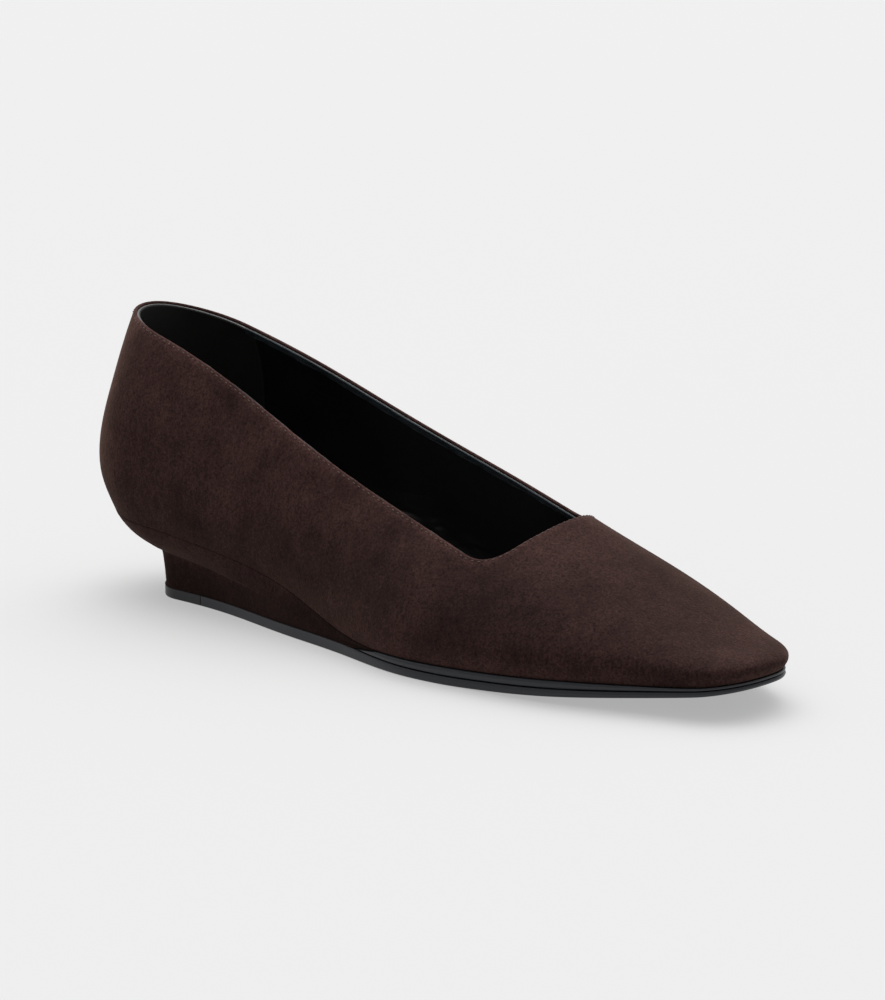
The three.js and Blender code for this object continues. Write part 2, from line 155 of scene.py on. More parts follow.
def spline(xs, ys):
    """A natural cubic spline through points, for arrays."""
    xs, ys = np.array(xs, float), np.array(ys, float)
    gaps = np.diff(xs)
    count = len(xs)
    system = np.eye(count)
    turns = np.zeros(count)
    for i in range(1, count - 1):
        system[i, i - 1:i + 2] = gaps[i - 1], 2 * (gaps[i - 1] + gaps[i]), gaps[i]
        turns[i] = 6 * ((ys[i + 1] - ys[i]) / gaps[i] - (ys[i] - ys[i - 1]) / gaps[i - 1])
    bends = np.linalg.solve(system, turns)

    def value(x):
        x = np.asarray(x, float)
        i = np.clip(np.searchsorted(xs, x, side="left") - 1, 0, count - 2)
        b = (x - xs[i]) / gaps[i]
        a = 1 - b
        arc = (a ** 3 - a) * bends[i] + (b ** 3 - b) * bends[i + 1]
        return a * ys[i] + b * ys[i + 1] + arc * gaps[i] ** 2 / 6

    return value


ROWS = {name: np.array(column, float) for name, column in zip(LAST_COLUMNS, zip(*LAST))}
STATIONS = ROWS["at"] * LENGTH


def column(name, unit):
    return spline(STATIONS, ROWS[name] * unit)


def spring_height(x):
    return TOE_SPRING * np.maximum(0, (x - TREAD_LENGTH) / (LENGTH - TREAD_LENGTH)) ** SPRING_POWER


feather_height = spline(
    STATIONS, ROWS["lift"] * HEEL_LIFT + ROWS["edge"] * EDGE_HEIGHT + spring_height(STATIONS)
)
sole_thickness = column("sole", SOLE_THICKNESS)
belly_height = column("belly", BELLY_HEIGHT)
ridge_height = column("ridge", INSTEP_HEIGHT)
ridge_lean = column("lean", RIDGE_LEAN)
arch_power = column("arch", 1)
back_seam = spline([up * COUNTER_HEIGHT for up, _ in BACK_SEAM], [on * HEEL_CURVE for _, on in BACK_SEAM])


class Flank:
    def __init__(self, sign, corner, side):
        self.sign = sign
        self.corner = corner
        self.width = column(side.lower(), BALL_WIDTH)
        self.fullness = column("full" + side, SIDE_FULLNESS)
        self.rim = column("rim" + side, COUNTER_HEIGHT)
        self.inset = column("inset" + side, BLOCK_INSET)


OUTER = Flank(-1, OUTER_CORNER, "Outer")
INNER = Flank(1, INNER_CORNER, "Inner")


def closing(distance, reach, power):
    near = np.clip(1 - distance / reach, 0, 1)
    return np.maximum(0, 1 - near ** power) ** (1 / power)


def heel_round(distance, radius):
    return closing(distance, radius, 2)


def toe_round(x):
    return closing(LENGTH - x, TOE_ROUNDING, TOE_SQUARENESS)


def seam_shift(x, z):
    up = np.clip(z - feather_height(0), 0, COUNTER_HEIGHT)
    return back_seam(up) * np.maximum(0, 1 - x / HEEL_CURVE_REACH) ** 2


def nose_shift(x, reach):
    return reach * np.maximum(0, 1 - (LENGTH - x) / NOSE_REACH) ** 2


def arch_height(x, inset):
    return ridge_height(x) - belly_height(x) - CROWN_FACTOR * inset


def high_angle(share):
    return np.clip((share - BELLY_SHARE) / (1 - BELLY_SHARE), 0, 1) * QUARTER_TURN


def height_over(x, share, inset):
    low = np.minimum(share / BELLY_SHARE, 1)
    nose = closing(LENGTH - x, NOSE_DEPTH, NOSE_ROUNDNESS)
    rise = np.sin(high_angle(share)) ** (2 / arch_power(x))
    return belly_height(x) * low + arch_height(x, inset) * nose * rise


def share_at(x, over, inset):
    belly = belly_height(x)
    rise = np.clip((over - belly) / arch_height(x, inset), 0, 1)
    high = np.arcsin(rise ** (arch_power(x) / 2)) / QUARTER_TURN
    return np.where(over <= belly, BELLY_SHARE * over / belly, BELLY_SHARE + (1 - BELLY_SHARE) * high)


def last_point(flank, x, share, inset):
    """Points of the last at stations and shares, drawn in by inset."""
    low = np.minimum(share / BELLY_SHARE, 1) * QUARTER_TURN
    high = high_angle(share)
    foot = flank.width(x) - inset
    lean = flank.sign * ridge_lean(x)
    full = foot + flank.fullness(x) - lean
    over = lean + full * np.maximum(0, np.cos(high)) ** (2 / arch_power(x))
    across = np.where(high > 0, over, foot + flank.fullness(x) * np.sin(low))
    closed = heel_round(x, HEEL_ROUNDING) * toe_round(x)
    y = flank.sign * across * closed + ridge_lean(x) * (1 - toe_round(x))
    z = feather_height(x) + height_over(x, share, inset)
    ends = inset * np.maximum(0, 1 - x / HEEL_ROUNDING)
    ends = ends - inset * np.maximum(0, 1 - (LENGTH - x) / TOE_ROUNDING)
    nose = nose_shift(x, NOSE_OVERHANG) * (1 - np.sin(low))
    return np.stack(np.broadcast_arrays(x + ends + seam_shift(x, z) - nose, y, z), axis=-1)


def heel_stations(start, radius, cuts=HEEL_CUTS):
    return start + radius * (1 - np.cos(np.arange(cuts) / cuts * QUARTER_TURN))


def toe_tip(cuts=NOSE_CUTS):
    turn = np.arange(cuts + 1) / cuts * QUARTER_TURN
    return LENGTH - TOE_ROUNDING + TOE_ROUNDING * np.sin(turn) ** (2 / TOE_SQUARENESS)


def full_stations():
    middle = np.linspace(HEEL_ROUNDING, LENGTH - TOE_ROUNDING, QUARTER_CUTS + VAMP_CUTS, endpoint=False)
    return np.concatenate([heel_stations(0, HEEL_ROUNDING), middle, toe_tip()])


def rim_path(flank, inset, drop):
    """Edge of the opening, lowered by drop: stations and shares along the quarter, and across the throat."""
    def on_quarter(x):
        return np.array([x, share_at(x, flank.rim(x) - drop, inset)])

    corner = on_quarter(flank.corner + drop)
    throat = THROAT + drop

    def on_throat(t):
        return np.array([corner[0] + (throat - corner[0]) * (2 * t - t * t), lerp(corner[1], 1, t)])

    before = on_quarter(corner[0] - CORNER_REACH)
    after_share = CORNER_REACH / flank.width(corner[0])
    after = on_throat(after_share)

    def on_corner(t):
        return (1 - t) ** 2 * before + 2 * t * (1 - t) * corner + t * t * after

    back = heel_stations(0, HEEL_ROUNDING)
    side = np.linspace(HEEL_ROUNDING, before[0], QUARTER_CUTS, endpoint=False)
    quarter = [on_quarter(x) for x in np.concatenate([back, side])]
    quarter += [on_corner(i / (2 * CORNER_CUTS)) for i in range(CORNER_CUTS + 1)]
    front = [on_corner(0.5 + i / (2 * CORNER_CUTS)) for i in range(1, CORNER_CUTS + 1)]
    front += [on_throat(lerp(after_share, 1, i / THROAT_CUTS)) for i in range(1, THROAT_CUTS + 1)]
    return np.array(quarter), np.array(front)


# Rows of the wall over the feather line and under the rim, and of the vamp behind the throat's edge
FOOT_ROWS = np.array([0, 0.15, 0.35, 0.65, 1.0, 1.5, 2.2])
EDGE_ROWS = np.array([2.4, 1.6, 1.0, 0.5, 0])
THROAT_ROWS = np.array([[0, 0.4, 0.9, 1.6, 2.6]])


def wall_heights(total):
    """Heights from the feather line to each total, closer together at both ends."""
    total = np.atleast_1d(total)[:, None]
    foot = np.repeat(FOOT_ROWS[None, :], len(total), axis=0)
    edge = total - EDGE_ROWS[None, :]
    middle = lerp(foot[:, -1:], edge[:, :1], np.linspace(0, 1, WALL_CUTS + 1)[None, 1:-1])
    return np.concatenate([foot, middle, edge], axis=1)


def tuck_at(height, tuck):
    """How far the foot of the upper turns in under itself."""
    if tuck == 0:
        return np.zeros_like(height)
    near = 1 - np.clip(height / tuck, 0, 1)
    return TUCK_SHARE * tuck * (1 - np.sqrt(1 - near ** 2))


# Soft troughs of the suede: station, height over the feather line, reach along and up, depth
TROUGHS = {
    -1: [(72, 26, 20, 20, 0.45), (134, 17, 22, 9, 0.4), (196, 14, 12, 8, 0.2)],
    1: [(96, 24, 26, 14, 0.5), (150, 18, 18, 9, 0.3)],
}
# On the vamp the troughs fade out towards the ridge, in full from a quarter of the way to the toe
RIDGE_BLEND = 4


def trough_at(flank, x, height):
    depth = 0 * (x + height)
    for station, up, along, over, deep in TROUGHS[flank.sign]:
        depth = depth + deep * np.exp(-((x - station) / along) ** 2 - ((height - up) / over) ** 2)
    return depth


def wall(flank, rim, inset, tuck):
    """Points of the wall under each rim point, from the feather line up, with their shares."""
    x = rim[:, :1]
    heights = wall_heights(height_over(rim[:, 0], rim[:, 1], inset))
    shares = share_at(x, heights, inset)
    drawn = inset + tuck_at(heights, tuck) + trough_at(flank, x, heights) * (tuck > 0)
    return last_point(flank, x + 0 * shares, shares, drawn), shares


def skin(inset, drop, tuck=0):
    """One skin of the upper: grids for both quarters and the vamp, and the loop round the opening."""
    halves = []
    for flank in (OUTER, INNER):
        quarter, throat = rim_path(flank, inset, drop)
        points, shares = wall(flank, quarter, inset, tuck)
        joint = quarter[-1]
        low = np.stack([np.full(shares.shape[1], joint[0]), shares[-1]], axis=1)
        halves.append((flank, points, np.concatenate([low, throat])))
    tip_shares = (halves[0][2][:, 1] + halves[1][2][:, 1]) / 2
    vamps = []
    for flank, _, rows in halves:
        start = rows[:, :1]
        near = start + THROAT_ROWS
        even = lerp(near[:, -1:], LENGTH - TOE_ROUNDING, np.linspace(0, 1, VAMP_CUTS + 1)[None, 1:-1])
        tip = np.repeat(toe_tip()[None, :], len(rows), axis=0)
        x = np.concatenate([near, even, tip], axis=1)
        along = (x - start) / (LENGTH - start)
        shares = lerp(rows[:, 1:], tip_shares[:, None], along)
        heights = height_over(x, shares, inset)
        fade = 1 - shares * np.minimum(along * RIDGE_BLEND, 1)
        drawn = inset + tuck_at(heights, tuck) + trough_at(flank, x, heights) * (tuck > 0) * fade
        vamps.append(last_point(flank, x, shares, drawn))
    outer, inner = halves[0][1], halves[1][1]
    low_count = outer.shape[1]
    loop = np.concatenate([
        outer[:, -1], vamps[0][low_count:, 0], vamps[1][low_count:-1, 0][::-1], inner[:, -1][::-1],
    ])[:-1]
    vamp = np.concatenate([vamps[0], vamps[1][:-1][::-1]])
    return {"outer": outer, "inner": inner, "vamp": vamp, "loop": loop}


def loop_frame(outside, inside):
    """Across, along and up directions round the opening's edge."""
    across = outside - inside
    half = np.linalg.norm(across, axis=1, keepdims=True) / 2
    across = across / (2 * half)
    along = np.roll(outside, -1, axis=0) - np.roll(outside, 1, axis=0)
    along /= np.linalg.norm(along, axis=1, keepdims=True)
    up = np.cross(across, along)
    up /= np.linalg.norm(up, axis=1, keepdims=True)
    return across, along, up, half


def rolled_edge(outside, inside, height):
    """Half-round strip from the outside skin's edge over to the inside skin's."""
    across, _, up, half = loop_frame(outside, inside)
    middle = (outside + inside) / 2
    rows = []
    for i in range(ROLL_CUTS + 1):
        angle = math.pi * i / ROLL_CUTS
        rows.append(middle + half * across * math.cos(angle) + height * up * math.sin(angle))
    rows[0], rows[-1] = outside, inside
    grid = np.array(rows)
    return np.concatenate([grid, grid[:, :1]], axis=1)


# Mesh making

class MeshBuilder:
    def __init__(self):
        self.points = []
        self.faces = []
        self.count = 0

    def grid(self, points):
        points = np.asarray(points, float)
        rows, cols = points.shape[:2]
        index = self.count + np.arange(rows * cols).reshape(rows, cols)
        quads = np.stack([index[:-1, :-1], index[1:, :-1], index[1:, 1:], index[:-1, 1:]], axis=-1)
        self.points.append(points.reshape(-1, 3))
        self.faces.extend(quads.reshape(-1, 4).tolist())
        self.count += rows * cols

    def mesh_piece(self, name, merge=MERGE, sharp=None):
        points = np.concatenate(self.points)
        points[:, 0] -= ORIGIN_STATION
        mesh = bpy.data.meshes.new(name)
        mesh.from_pydata((points * MM).tolist(), [], self.faces)
        bm = bmesh.new()
        bm.from_mesh(mesh)
        bmesh.ops.remove_doubles(bm, verts=bm.verts, dist=merge * MM)
        bmesh.ops.dissolve_degenerate(bm, edges=bm.edges, dist=SMALLEST_EDGE * MM)
        bmesh.ops.recalc_face_normals(bm, faces=bm.faces)
        bm.to_mesh(mesh)
        bm.free()
        mesh.polygons.foreach_set("use_smooth", [True] * len(mesh.polygons))
        piece = bpy.data.objects.new(name, mesh)
        bpy.context.scene.collection.objects.link(piece)
        if sharp is not None:
            mesh.set_sharp_from_angle(angle=math.radians(sharp))
        return piece


def shell(name, inset_out, inset_in, drop, roll, tuck=0):
    """Closed shell between two skins, with a rolled edge round the opening."""
    outside = skin(inset_out, drop, tuck)
    inside = skin(inset_in, drop)
    build = MeshBuilder()
    for side in (outside, inside):
        for part in ("outer", "inner", "vamp"):
            build.grid(side[part])
    build.grid(rolled_edge(outside["loop"], inside["loop"], roll))
    build.grid([outside["outer"][:, 0], inside["outer"][:, 0]])
    build.grid([outside["inner"][:, 0], inside["inner"][:, 0]])
    build.grid([outside["vamp"][0], inside["vamp"][0]])
    build.grid([outside["vamp"][-1], inside["vamp"][-1]])
    return build.mesh_piece(name), outside, inside


def mark_edge(piece, loop, reach):
    """A value on each vertex that fades from 1 at the opening's edge to 0."""
    tree = KDTree(len(loop) * EDGE_STEPS)
    for i, point in enumerate(loop):
        ahead = loop[(i + 1) % len(loop)]
        for k in range(EDGE_STEPS):
            tree.insert(Vector(lerp(point, ahead, k / EDGE_STEPS)), i)
    tree.balance()
    values = []
    for vertex in piece.data.vertices:
        place = vertex.co / MM + Vector((ORIGIN_STATION, 0, 0))
        distance = tree.find(place)[2]
        values.append(math.exp(-(distance / reach) ** 2))
    piece.data.attributes.new("edge", "FLOAT", "POINT").data.foreach_set("value", values)


upper, suede_out, suede_in = shell("suede_upper", 0, SUEDE_DEPTH, ROLL, ROLL, TUCK)
mark_edge(upper, suede_out["loop"], EDGE_REACH)
lining, lining_out, lining_in = shell("lining", LINING_START, LINING_DEPTH, LINING_DROP, LINING_ROLL)


# Sole, wedge and sock

# Edges that bend more than this many degrees are shaded as corners
SOLE_SHARP = 55
SOFT_SHARP = 60
# Room between cover and neighbour, of the clearance that the solids keep
SOLE_CREEP = 0.05
FEATHER_GAP = 0.1

def feather_point(flank, x, inset, rise):
    point = last_point(flank, x, 0 * x, inset)
    point[..., 2] += rise
    return point


def sole_point(flank, x, z, drawn_in):
    out = flank.width(x) + SOLE_MARGIN - flank.inset(x) - drawn_in
    closed = heel_round(x - BLOCK_START, BLOCK_ROUNDING) * toe_round(x)
    y = flank.sign * out * closed + ridge_lean(x) * (1 - toe_round(x))
    ends = -drawn_in * np.maximum(0, 1 - (LENGTH - x) / TOE_ROUNDING)
    ends = ends + drawn_in * np.maximum(0, 1 - (x - BLOCK_START) / BLOCK_ROUNDING)
    return np.stack(np.broadcast_arrays(x - nose_shift(x, NOSE_OVERHANG - SOLE_LIP) + ends, y, z), axis=-1)


def sole_top(x):
    return spring_height(x) + sole_thickness(x)


def slab(name, outlines, sharp):
    """Closed mesh between matching outlines, each an array (2 sides, stations, 3), lowest first."""
    build = MeshBuilder()
    outlines = np.array(outlines)
    build.grid(crossed(outlines[0]))
    build.grid(crossed(outlines[-1]))
    build.grid(outlines[:, 0])
    build.grid(outlines[:, 1])
    for end in (0, -1):
        build.grid(crossed(outlines[:, :, end].swapaxes(0, 1)))
    return build.mesh_piece(name, sharp=sharp)


def crossed(pair):
    """Grid across from one side of an outline to the other."""
    steps = np.linspace(0, 1, CROSS_CUTS + 1)
    return np.array([lerp(pair[0], pair[1], t) for t in steps])


def both(make):
    return np.array([make(OUTER), make(INNER)])


def edge_profile(height, low_radius, high_radius, belly):
    """Rows (height from the bottom, draw-in), arrays over stations: rounded corners and a slight belly."""
    rows = []
    for i in range(ROUNDING_CUTS + 1):
        t = i / ROUNDING_CUTS * QUARTER_TURN
        rows.append((low_radius * (1 - np.cos(t)), low_radius * (1 - np.sin(t))))
    for share in (0.25, 0.5, 0.75):
        z = lerp(low_radius, height - high_radius, share)
        rows.append((z, -belly * 4 * share * (1 - share)))
    for i in range(ROUNDING_CUTS + 1):
        t = i / ROUNDING_CUTS * QUARTER_TURN
        rows.append((height - high_radius * (1 - np.sin(t)), high_radius * (1 - np.cos(t))))
    return rows


def sole_slab(name, x, bottom, top, low_radius, high_radius, belly):
    height = top - bottom
    outlines = []
    for up, drawn in edge_profile(height, low_radius, high_radius, belly):
        outlines.append(both(lambda flank: sole_point(flank, x, bottom + up, drawn + 0 * x)))
    return slab(name, outlines, SOLE_SHARP)


def stations_after(start):
    stations = full_stations()
    return np.concatenate([[start], stations[stations > start + 0.5]])


TOP_PIECE_END = BLOCK_START + TOP_PIECE_LENGTH
# The sole's edge is crisp under the wedge, and rounder with a slight belly from the ball on
ROUND_FROM, ROUND_OVER = 120, 30
LOW_RADII = (0.3, 0.65)
HIGH_RADII = (0.2, 0.7)
MOST_LOW, MOST_HIGH = 0.4, 0.35
EDGE_BELLY = 0.12

sole_x = stations_after(TOP_PIECE_END + CLEARANCE)
rounding = np.clip((sole_x - ROUND_FROM) / ROUND_OVER, 0, 1)
outsole = sole_slab(
    "outsole_edge", sole_x, spring_height(sole_x), sole_top(sole_x) + SOLE_CREEP,
    np.minimum(lerp(*LOW_RADII, rounding), sole_thickness(sole_x) * MOST_LOW),
    np.minimum(lerp(*HIGH_RADII, rounding), sole_thickness(sole_x) * MOST_HIGH), EDGE_BELLY * rounding,
)

lift_x = np.concatenate([
    heel_stations(BLOCK_START, BLOCK_ROUNDING, LIFT_HEEL_CUTS),
    np.linspace(BLOCK_START + BLOCK_ROUNDING, TOP_PIECE_END, LIFT_CUTS),
])
top_piece = sole_slab(
    "heel_top_piece", lift_x, spring_height(lift_x), sole_top(lift_x) + SOLE_CREEP,
    LOW_RADII[0] + 0 * lift_x, HIGH_RADII[0] + 0 * lift_x, 0 * lift_x,
)

scarf_thickness = feather_height(SCARF_START) - sole_top(SCARF_START) - 2 * CLEARANCE
rand_low = SCARF_START + CLEARANCE * SCARF_LENGTH / scarf_thickness
rand_high = rand_low + SCARF_LENGTH
rand_ahead = full_stations()
rand_ahead = rand_ahead[rand_ahead > rand_high + 1]


# Edge of the rand, bottom to top: share of its height, draw-in in mm where it is full
RAND_PROFILE = [
    (0, 0.45), (0.04, 0.28), (0.12, 0.1), (0.3, -0.05), (0.5, -0.12), (0.7, -0.05), (0.88, 0.1), (0.96, 0.28),
    (1, 0.45),
]
RAND_FULL_HEIGHT = 1.8
RAND_LEAST = 0.3


def rand_outlines():
    outlines = []
    for share, drawn in RAND_PROFILE:
        start = lerp(rand_low, rand_high, share)
        x = np.concatenate([[start, lerp(start, rand_ahead[0], 0.5)], rand_ahead])
        low = sole_top(x) + CLEARANCE
        high = feather_height(x) - FEATHER_GAP
        z = lerp(low, high, share)
        slim = np.clip((high - low) / RAND_FULL_HEIGHT, RAND_LEAST, 1)
        outlines.append(both(lambda flank: sole_point(flank, x, z, drawn * slim)))
    return outlines


rand = slab("midsole_rand", rand_outlines(), SOFT_SHARP)


# Wedge cover: a band that slopes in under the upper to a soft lip, then a step in to the block.
# Each row is its place from the feather line (0) in to the block (1), and its height at the back and the front.
WEDGE_PROFILE = [
    (0.97, 0, 0), (1, 0.03, 0.03), (0.985, 0.25, 0.2), (0.965, 0.42, 0.32), (0.95, 0.49, 0.37), (0.925, 0.525, 0.4),
    (0.88, 0.545, 0.415), (0.84, 0.556, 0.425), (0.81, 0.563, 0.434), (0.78, 0.571, 0.447), (0.73, 0.584, 0.475),
    (0.66, 0.606, 0.525), (0.56, 0.639, 0.59), (0.46, 0.675, 0.648), (0.36, 0.72, 0.71), (0.26, 0.775, 0.775),
    (0.17, 0.838, 0.838), (0.1, 0.897, 0.897), (0.05, 0.948, 0.948), (0.018, 0.985, 0.985), (0.03, 1, 1),
]


def wedge_outlines():
    tip = SCARF_START + SCARF_LENGTH
    along = np.concatenate([
        heel_stations(0, HEEL_ROUNDING) / tip, np.linspace(HEEL_ROUNDING / tip, 1, QUARTER_CUTS + 1),
    ])
    x = lerp(BLOCK_START, SCARF_START, along)

    def ring(flank, inward, up_back, up_front):
        low = sole_point(flank, x, sole_top(x) + FEATHER_GAP, BLOCK_EDGE + 0 * x)
        high = feather_point(flank, tip * along, 0, -FEATHER_GAP)
        up = lerp(up_back, up_front, along)
        back = lerp(inward, 1 - up, along)
        return np.stack([
            lerp(high[:, 0], low[:, 0], back), lerp(high[:, 1], low[:, 1], inward), lerp(low[:, 2], high[:, 2], up),
        ], axis=-1)

    return [both(lambda flank: ring(flank, *row)) for row in WEDGE_PROFILE]


wedge = slab("wedge_cover", wedge_outlines(), SOFT_SHARP)


# Edge of insole and sock: height over the feather line, draw-in
SOCK_PROFILE = [(0, 0), (1.2, 0), (1.7, 0.1), (2.0, 0.3), (2.15, 0.65), (INSOLE_THICKNESS, 1.1)]


def sock_outlines():
    x = full_stations()
    outlines = []
    for rise, drawn in SOCK_PROFILE:
        outlines.append(both(lambda flank: feather_point(flank, x, SOCK_INSET + drawn, rise)))
    return outlines


sock = slab("sock", sock_outlines(), SOFT_SHARP)


# Stitches, facing and heel grip that follow the opening's edge

def skin_surface(side):
    """One skin of the upper as a surface to lay things on."""
    points, faces = [], []
    for part in ("outer", "inner", "vamp"):
        rows, cols = side[part].shape[:2]
        index = len(points) + np.arange(rows * cols).reshape(rows, cols)
        points.extend(Vector(p) for p in side[part].reshape(-1, 3))
        quads = np.stack([index[:-1, :-1], index[1:, :-1], index[1:, 1:], index[:-1, 1:]], axis=-1)
        faces.extend(quads.reshape(-1, 4).tolist())
    return BVHTree.FromPolygons(points, faces)


def laid(tree, points, outward):
    """Nearest places on a skin, with the skin's normals on the side given by outward."""
    places, normals = [], []
    for point, out in zip(points, outward):
        hit, normal, _, _ = tree.find_nearest(Vector(point))
        normal = np.array(normal)
        places.append(tuple(hit))
        normals.append(normal if normal @ out > 0 else -normal)
    return np.array(places), np.array(normals)


def resampled(loop, pitch, *carried):
    """Points of a closed line at an even pitch, and other values of the line with them."""
    line = np.concatenate([loop, loop[:1]])
    steps = np.linalg.norm(np.diff(line, axis=0), axis=1)
    travelled = np.concatenate([[0], np.cumsum(steps)])
    count = int(round(travelled[-1] / pitch))
    at = np.arange(count) * travelled[-1] / count
    made = []
    for values in (loop, *carried):
        closed = np.concatenate([values, values[:1]])
        made.append(np.stack([np.interp(at, travelled, closed[:, k]) for k in range(3)], axis=1))
    return made


def unit(vectors):
    return vectors / np.linalg.norm(vectors, axis=-1, keepdims=True)


def tangents(line):
    return unit(np.roll(line, -1, axis=0) - np.roll(line, 1, axis=0))


STITCH_DISTANCE = 0.15
STITCH_PITCH = 2.2
STITCH_LENGTH = 1.0
THREAD_RADIUS = 0.17
# A stitch from end to end: place along it in lengths, height and size in thread radii
STITCH_SECTIONS = [
    (-0.5, -0.5, 0.15), (-0.44, -0.1, 0.8), (-0.25, 0.35, 1), (0, 0.5, 1), (0.25, 0.35, 1), (0.44, -0.1, 0.8),
    (0.5, -0.5, 0.15),
]


def stitch_line():
    """A line on the suede along the opening's edge, with the suede's normals."""
    tree = skin_surface(suede_out)
    across, _, up, _ = loop_frame(suede_out["loop"], suede_in["loop"])
    line, _ = laid(tree, suede_out["loop"] - up * STITCH_DISTANCE, across)
    line, across = resampled(line, STITCH_PITCH, across)
    return laid(tree, line, across)


def stitches(name, line, normals, length, radius):
    along = tangents(line)
    across = unit(np.cross(normals, along))
    build = MeshBuilder()
    turns = np.linspace(0, 2 * math.pi, STITCH_CUTS + 1)
    for i in range(len(line)):
        rings = []
        for at, height, size in STITCH_SECTIONS:
            middle = line[i] + along[i] * at * length + normals[i] * height * radius
            rings.append([
                middle + (across[i] * math.cos(t) + normals[i] * math.sin(t)) * radius * size for t in turns
            ])
        build.grid(rings)
        for ring in (rings[0], rings[-1]):
            build.grid([ring[:4], ring[3:][::-1]])
    return build.mesh_piece(name, STITCH_MERGE)


topline_stitches = stitches("topline_stitches", *stitch_line(), STITCH_LENGTH, THREAD_RADIUS)

FACING_WIDTH = 2.7
FACING_WRAP = 0.7
WRAP_TURN = 1.35
FACING_THICKNESS = 0.42
# Across the strip: share of its width, height in thicknesses
FACING_FOLDS = [
    (0, -0.5), (0.08, 0.4), (0.2, 0.7), (0.34, 0.15), (0.42, 0.2), (0.54, 0.9), (0.68, 0.15), (0.76, 0.2), (0.87, 1),
    (0.94, 0.7), (1, -0.5),
]
UNEVENNESS = 0.8
WAVE_SKEW = 9
SHORT_WAVE = 6.1
SHORT_WAVE_TURN = 5
LONG_WAVES = [(17, 0), (11.3, 2), (29, 4)]


def wobble(at, waves):
    """A smooth unevenness from a few waves, each (length, phase)."""
    return sum(np.sin(2 * math.pi * at / length + phase) for length, phase in waves) / len(waves)


def facing_strip():
    """Folded strip over the lining's edge, from the seam of the heel grip round the throat and back."""
    outside, inside = lining_out["loop"], lining_in["loop"]
    across, _, up, half = loop_frame(outside, inside)
    middle = (outside + inside) / 2
    tree = skin_surface(lining_in)
    steps = np.linalg.norm(np.diff(inside, axis=0, append=inside[:1]), axis=1)
    travelled = np.cumsum(steps)
    ways = np.linspace(0, 1, FACING_CUTS + 1)
    folds = np.interp(ways, *zip(*FACING_FOLDS))
    columns = []
    for way, fold in zip(ways, folds):
        distance = lerp(-FACING_WRAP, FACING_WIDTH, way)
        if distance < 0:
            angle = -distance / FACING_WRAP * WRAP_TURN
            base = middle - across * half * math.cos(angle) + up * LINING_ROLL * math.sin(angle)
            normals = unit(up * math.sin(angle) - across * math.cos(angle))
        else:
            base, normals = laid(tree, inside - up * distance, -across)
        waves = [*LONG_WAVES, (SHORT_WAVE, 1 + SHORT_WAVE_TURN * way)]
        uneven = 1 + UNEVENNESS * wobble(travelled + WAVE_SKEW * way, waves)
        columns.append(base + normals * (FACING_THICKNESS * fold * uneven)[:, None])
    keep = np.flatnonzero(inside[:, 0] > GRIP_STATION + CLEARANCE)
    columns = np.array(columns)[:, keep]
    build = MeshBuilder()
    build.grid(columns)
    build.grid(columns[[0, -1]])
    halfway = len(columns) // 2
    for end in (0, -1):
        profile = columns[:, end]
        build.grid([profile[:halfway + 1], profile[halfway:][::-1]])
    return build.mesh_piece("facing_strip")


facing = facing_strip()


def grip_panel():
    """Heel grip: a layer on the lining round the heel, up to a seam on each side."""
    build = MeshBuilder()
    x = np.concatenate([heel_stations(0, HEEL_ROUNDING), np.linspace(HEEL_ROUNDING, GRIP_STATION, GRIP_CUTS)])
    for flank in (OUTER, INNER):
        layers = []
        for inset, drop in ((LINING_DEPTH - GRIP_SINK, LINING_DROP), (GRIP_DEPTH, LINING_DROP + GRIP_DROP)):
            rim = np.stack([x, share_at(x, flank.rim(x) - drop, inset)], axis=1)
            layers.append(wall(flank, rim, inset, 0)[0])
        back, face = layers
        build.grid(back)
        build.grid(face)
        build.grid([back[:, -1], face[:, -1]])
        build.grid([back[:, 0], face[:, 0]])
        build.grid([back[-1], face[-1]])
    return build.mesh_piece("heel_grip")


grip = grip_panel()


# Materials

def material(name, roughness, specular, sheen=0.0, sheen_roughness=0.5, sheen_tint=(1, 1, 1)):
    made = bpy.data.materials.new(name)
    made.use_nodes = True
    nodes, links = made.node_tree.nodes, made.node_tree.links
    shader = nodes["Principled BSDF"]
    shader.inputs["Roughness"].default_value = roughness
    shader.inputs["Sheen Weight"].default_value = sheen
    shader.inputs["Sheen Roughness"].default_value = sheen_roughness
    shader.inputs["Sheen Tint"].default_value = (*sheen_tint, 1)
    shader.inputs["Specular IOR Level"].default_value = specular
    coords = nodes.new("ShaderNodeTexCoord")
    return made, nodes, links, shader, coords


def noise(nodes, links, coords, scale, detail=3, roughness=0.5, distortion=0.0, stretch=(1, 1, 1)):
    placed = nodes.new("ShaderNodeMapping")
    placed.inputs["Scale"].default_value = stretch
    links.new(coords.outputs["Object"], placed.inputs["Vector"])
    made = nodes.new("ShaderNodeTexNoise")
    made.inputs["Scale"].default_value = scale
    made.inputs["Detail"].default_value = detail
    made.inputs["Roughness"].default_value = roughness
    made.inputs["Distortion"].default_value = distortion
    links.new(placed.outputs["Vector"], made.inputs["Vector"])
    return made.outputs["Fac"]


def ramp(nodes, links, factor, stops):
    made = nodes.new("ShaderNodeValToRGB")
    elements = made.color_ramp.elements
    while len(elements) < len(stops):
        elements.new(0.5)
    for element, (at, colour) in zip(elements, stops):
        element.position = at
        element.color = (*colour, 1)
    links.new(factor, made.inputs["Fac"])
    return made.outputs["Color"]


def mixed(nodes, links, kind, factor, a, b):
    made = nodes.new("ShaderNodeMix")
    made.data_type = "RGBA"
    made.blend_type = kind
    for socket, value in ((made.inputs["Factor"], factor), (made.inputs["A"], a), (made.inputs["B"], b)):
        if isinstance(value, bpy.types.NodeSocket):
            links.new(value, socket)
        elif isinstance(value, tuple):
            socket.default_value = (*value, 1)
        else:
            socket.default_value = value
    return made.outputs["Result"]


